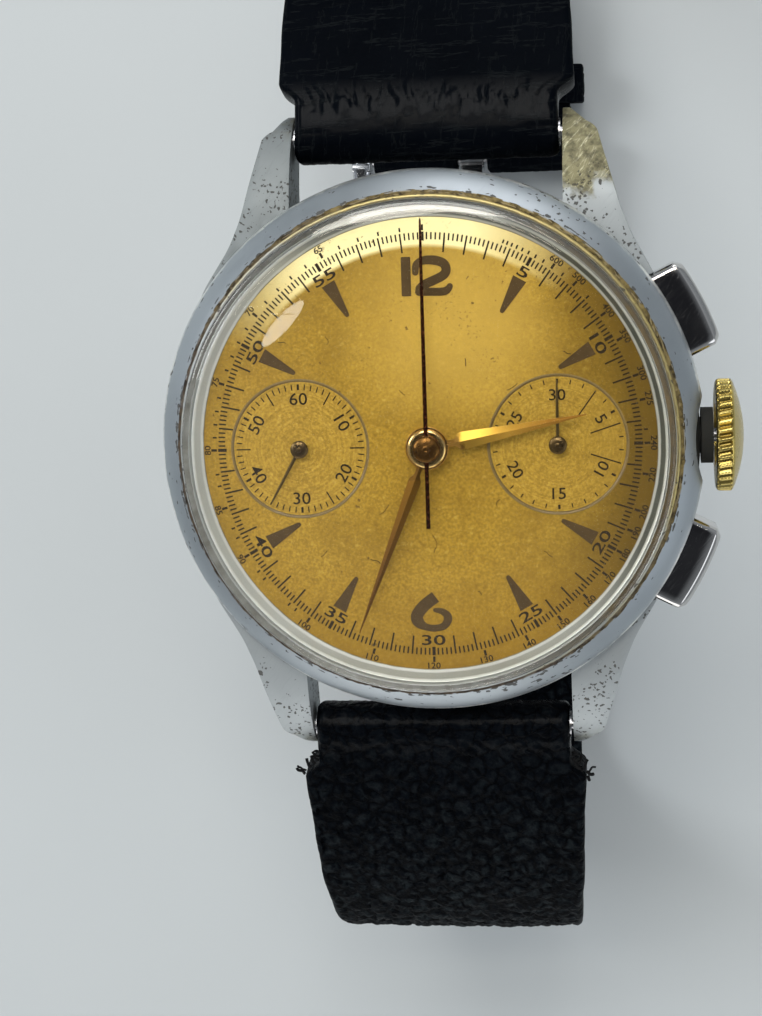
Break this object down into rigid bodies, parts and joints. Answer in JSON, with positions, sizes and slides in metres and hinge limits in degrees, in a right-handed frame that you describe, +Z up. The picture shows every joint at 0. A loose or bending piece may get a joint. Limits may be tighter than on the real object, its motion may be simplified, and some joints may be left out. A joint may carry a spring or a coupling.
{
  "type": "wrist chronograph",
  "caption": "Hand-wound two-pusher wrist chronograph with a domed crystal, two sub-dials and a black leather strap, standing on its open strap.",
  "frame": {"origin": "on the floor under the dial axis, on the flat foot of the long strap half", "axes": "+Z up along the dial axis toward the crystal, +X toward three o'clock and the crown, +Y toward twelve o'clock"},
  "size_m": [0.0387, 0.0799, 0.0525],
  "materials": {
    "case_chrome": "worn chrome plating with brass at the edges",
    "case_steel": "turned steel",
    "crystal": "clear domed plastic with fine scratches",
    "inner_ring": "satin silver",
    "gasket": "matt",
    "dial_champagne": "aged champagne lacquer",
    "gilt_hands": "darkened gilt",
    "crown_gilt": "worn gilt",
    "movement_plate": "satin",
    "wheel_brass": "polished",
    "steel": "polished",
    "jewel": "polished stone",
    "leather_black": "black, creased"
  },
  "bodies": {
    "case": {"mid_case": "case_chrome", "bezel": "case_chrome", "crystal": "crystal", "rehaut_ring": "inner_ring", "case_back": "case_steel", "back_gasket": "gasket", "case_tubes": "case_chrome", "lug_spring_bars": "steel", "dial": "dial_champagne", "main_plate": "movement_plate", "barrel_bridge": "movement_plate", "train_bridge": "movement_plate", "pallet_bridge": "movement_plate", "balance_cock": "movement_plate", "chronograph_bridge": "movement_plate", "plate_screws": "steel", "bridge_jewels": "jewel", "click": "steel", "start_pusher_spring": "steel", "reset_pusher_spring": "steel", "hairspring": "steel"},
    "barrel": {"barrel": "wheel_brass", "mainspring": "steel"},
    "ratchet": {"ratchet_wheel": "steel"},
    "crown_wheel": {"crown_wheel": "steel"},
    "center_wheel": {"center_wheel": "wheel_brass"},
    "third_wheel": {"third_wheel": "wheel_brass"},
    "seconds": {"fourth_wheel": "wheel_brass", "running_seconds_hand": "gilt_hands"},
    "escape": {"escape_wheel": "wheel_brass"},
    "pallets": {"pallet_fork": "steel"},
    "balance": {"balance_wheel": "wheel_brass"},
    "coupling_wheel": {"coupling_wheel": "wheel_brass"},
    "cannon": {"cannon_pinion": "wheel_brass", "minute_hand": "gilt_hands"},
    "minute_wheel": {"minute_wheel": "wheel_brass"},
    "hour": {"hour_wheel": "wheel_brass", "hour_hand": "gilt_hands"},
    "setting_wheel": {"setting_wheel": "wheel_brass"},
    "winding": {"winding_pinion": "steel"},
    "clutch": {"sliding_pinion": "steel"},
    "crown": {"winding_stem": "steel", "crown": "crown_gilt"},
    "chronograph": {"chrono_runner": "wheel_brass", "chrono_hand": "gilt_hands"},
    "recorder": {"minute_recorder_wheel": "wheel_brass", "minute_counter_hand": "gilt_hands"},
    "intermediate": {"intermediate_wheel": "wheel_brass"},
    "start_pusher": {"start_pusher": "case_chrome"},
    "reset_pusher": {"reset_pusher": "case_chrome"},
    "start_lever": {"start_lever": "steel"},
    "reset_hammer": {"reset_hammer": "steel"},
    "operating_cam": {"operating_cam": "steel"},
    "strap_long": {"strap_long": "leather_black"},
    "strap_short": {"strap_short": "leather_black", "fixed_keeper": "leather_black", "buckle_bar": "steel"},
    "sliding_keeper": {"sliding_keeper": "leather_black"},
    "buckle_frame": {"buckle_frame": "case_chrome"},
    "buckle_tongue": {"buckle_tongue": "case_chrome"}
  },
  "joints": [
    {"name": "seconds_spin", "type": "hinge", "parent": "case", "child": "seconds", "pos_m": [-0.00843, 0, 0.0455], "axis": [0, 0, -1], "continuous": true},
    {"name": "center_spin", "type": "hinge", "parent": "case", "child": "center_wheel", "pos_m": [0, 0, 0.0455], "axis": [0, 0, -1], "continuous": true},
    {"name": "third_spin", "type": "hinge", "parent": "case", "child": "third_wheel", "pos_m": [-0.0047, 0.00155, 0.0455], "axis": [0, 0, -1], "continuous": true},
    {"name": "barrel_spin", "type": "hinge", "parent": "case", "child": "barrel", "pos_m": [0.00315, 0.00546, 0.0455], "axis": [0, 0, -1], "continuous": true},
    {"name": "escape_spin", "type": "hinge", "parent": "case", "child": "escape", "pos_m": [-0.01042, -0.00284, 0.0455], "axis": [0, 0, -1], "continuous": true},
    {"name": "coupling_spin", "type": "hinge", "parent": "case", "child": "coupling_wheel", "pos_m": [-0.00438, -0.00171, 0.043], "axis": [0, 0, -1], "continuous": true},
    {"name": "hand_setting", "type": "hinge", "parent": "case", "child": "cannon", "pos_m": [0, 0, 0.048], "axis": [0, 0, -1], "continuous": true},
    {"name": "hour_spin", "type": "hinge", "parent": "case", "child": "hour", "pos_m": [0, 0, 0.0484], "axis": [0, 0, -1], "continuous": true},
    {"name": "minute_wheel_spin", "type": "hinge", "parent": "case", "child": "minute_wheel", "pos_m": [0.0023, -0.00193, 0.048], "axis": [0, 0, -1], "continuous": true},
    {"name": "setting_wheel_spin", "type": "hinge", "parent": "case", "child": "setting_wheel", "pos_m": [0.00545, -0.00072, 0.048], "axis": [0, 0, -1], "continuous": true},
    {"name": "chronograph_spin", "type": "hinge", "parent": "case", "child": "chronograph", "pos_m": [0, 0, 0.043], "axis": [0, 0, -1], "continuous": true},
    {"name": "recorder_spin", "type": "hinge", "parent": "case", "child": "recorder", "pos_m": [0.00843, 0, 0.0427], "axis": [0, 0, -1], "continuous": true},
    {"name": "intermediate_spin", "type": "hinge", "parent": "case", "child": "intermediate", "pos_m": [0.0055, -0.00064, 0.0427], "axis": [0, 0, -1], "continuous": true},
    {"name": "crown_spin", "type": "hinge", "parent": "case", "child": "winding", "pos_m": [0.01075, 0, 0.04555], "axis": [1, 0, 0], "continuous": true},
    {"name": "crown_wheel_spin", "type": "hinge", "parent": "case", "child": "crown_wheel", "pos_m": [0.0102, 0.0029, 0.0436], "axis": [0, 0, -1], "continuous": true},
    {"name": "ratchet_spin", "type": "hinge", "parent": "case", "child": "ratchet", "pos_m": [0.00315, 0.00546, 0.0436], "axis": [0, 0, -1], "continuous": true},
    {"name": "crown_pull", "type": "slide", "parent": "winding", "child": "crown", "axis": [1, 0, 0], "range_m": [0, 0.0007]},
    {"name": "clutch_slide", "type": "slide", "parent": "winding", "child": "clutch", "axis": [-1, 0, 0], "range_m": [0, 0.0005]},
    {"name": "balance_swing", "type": "hinge", "parent": "case", "child": "balance", "pos_m": [-0.0066, -0.0086, 0.0445], "axis": [0, 0, 1], "range_deg": [-40, 40], "stiffness_Nm_per_rad": 0.0000002, "deforming": ["hairspring"]},
    {"name": "pallet_rock", "type": "hinge", "parent": "case", "child": "pallets", "pos_m": [-0.0094, -0.00495, 0.0449], "axis": [0, 0, 1], "range_deg": [-4, 4]},
    {"name": "start_push", "type": "slide", "parent": "case", "child": "start_pusher", "axis": [-0.8934, -0.4493, 0], "range_m": [0, 0.0009], "stiffness_N_per_m": 1800, "springref_m": -0.0005, "deforming": ["start_pusher_spring"]},
    {"name": "reset_push", "type": "slide", "parent": "case", "child": "reset_pusher", "axis": [-0.8934, 0.4493, 0], "range_m": [0, 0.0009], "stiffness_N_per_m": 1800, "springref_m": -0.0005, "deforming": ["reset_pusher_spring"]},
    {"name": "start_lever_rock", "type": "hinge", "parent": "case", "child": "start_lever", "pos_m": [0.00871, 0.00992, 0.0432], "axis": [0, 0, -1], "range_deg": [0, 9.5]},
    {"name": "reset_hammer_rock", "type": "hinge", "parent": "case", "child": "reset_hammer", "pos_m": [0.00871, -0.00992, 0.0432], "axis": [0, 0, 1], "range_deg": [0, 9.5]},
    {"name": "cam_step", "type": "hinge", "parent": "case", "child": "operating_cam", "pos_m": [0.0063, 0.0109, 0.0432], "axis": [0, 0, -1], "range_deg": [0, 30]},
    {"name": "strap_long_hinge", "type": "hinge", "parent": "case", "child": "strap_long", "pos_m": [0, -0.0201, 0.0438], "axis": [-1, 0, 0], "range_deg": [0, 65]},
    {"name": "strap_short_hinge", "type": "hinge", "parent": "case", "child": "strap_short", "pos_m": [0, 0.0201, 0.0438], "axis": [1, 0, 0], "range_deg": [0, 65]},
    {"name": "keeper_slide", "type": "slide", "parent": "strap_short", "child": "sliding_keeper", "axis": [0, 0, 1], "range_m": [0, 0.0065]},
    {"name": "buckle_hinge", "type": "hinge", "parent": "strap_short", "child": "buckle_frame", "pos_m": [0, 0.0192, 0.00225], "axis": [-1, 0, 0], "range_deg": [0, 60]},
    {"name": "tongue_hinge", "type": "hinge", "parent": "buckle_frame", "child": "buckle_tongue", "pos_m": [0, 0.0192, 0.00225], "axis": [-1, 0, 0], "range_deg": [0, 60]}
  ],
  "couplings": [
    {"joint": "center_spin", "follows": "seconds_spin", "ratio": 0.016667},
    {"joint": "third_spin", "follows": "seconds_spin", "ratio": -0.13333},
    {"joint": "barrel_spin", "follows": "seconds_spin", "ratio": -0.0027778},
    {"joint": "escape_spin", "follows": "seconds_spin", "ratio": -10},
    {"joint": "coupling_spin", "follows": "seconds_spin", "ratio": -1.2},
    {"joint": "hour_spin", "follows": "hand_setting", "ratio": 0.083333},
    {"joint": "minute_wheel_spin", "follows": "hand_setting", "ratio": -0.33333},
    {"joint": "setting_wheel_spin", "follows": "hand_setting", "ratio": 0.66667},
    {"joint": "recorder_spin", "follows": "chronograph_spin", "ratio": 0.033333},
    {"joint": "intermediate_spin", "follows": "chronograph_spin", "ratio": -0.033333},
    {"joint": "crown_wheel_spin", "follows": "crown_spin", "ratio": 0.48},
    {"joint": "ratchet_spin", "follows": "crown_spin", "ratio": -0.24},
    {"joint": "clutch_slide", "follows": "crown_pull", "ratio": 0.71},
    {"joint": "start_lever_rock", "follows": "start_push", "rad_per_m": 183},
    {"joint": "reset_hammer_rock", "follows": "reset_push", "rad_per_m": 183},
    {"joint": "cam_step", "follows": "start_push", "rad_per_m": 580}
  ]
}
